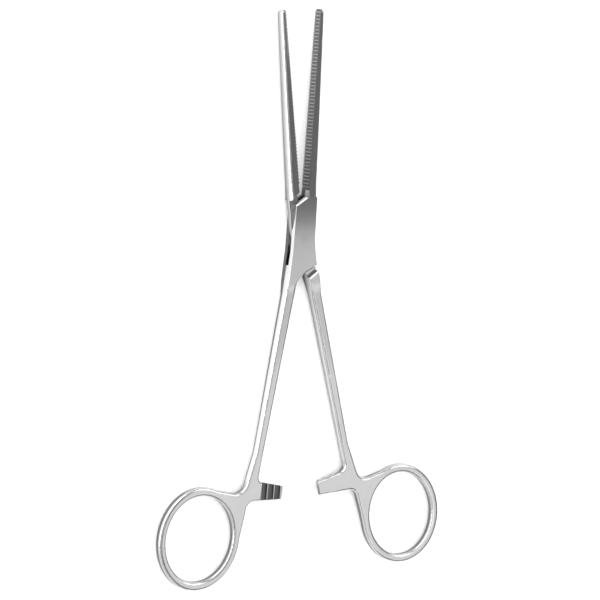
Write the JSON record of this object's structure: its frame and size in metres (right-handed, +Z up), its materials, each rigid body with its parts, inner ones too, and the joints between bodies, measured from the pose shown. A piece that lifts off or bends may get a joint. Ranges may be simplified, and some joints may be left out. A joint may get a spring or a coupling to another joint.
{
  "type": "hemostat forceps",
  "caption": "Straight ring-handled hemostat forceps with serrated jaws, a flush box lock and a ratchet between the shanks.",
  "frame": {"origin": "on the pivot axis, at the flat underside of the box lock", "axes": "+Y along the instrument to the jaw tips, +Z up along the pivot axis, +X towards the male half's ring"},
  "size_m": [0.1132, 0.1984, 0.0058],
  "materials": {
    "steel": "satin stainless steel, polished on the rounded edges",
    "pin": "ground flush with the box lock"
  },
  "bodies": {
    "female": {"female_half": "steel", "pivot_pin": "pin"},
    "male": {"male_half": "steel"}
  },
  "joints": [
    {"name": "box_lock", "type": "hinge", "parent": "female", "child": "male", "pos_m": [0, 0, 0.0029], "axis": [0, 0, 1], "range_deg": [-10, 40]}
  ]
}
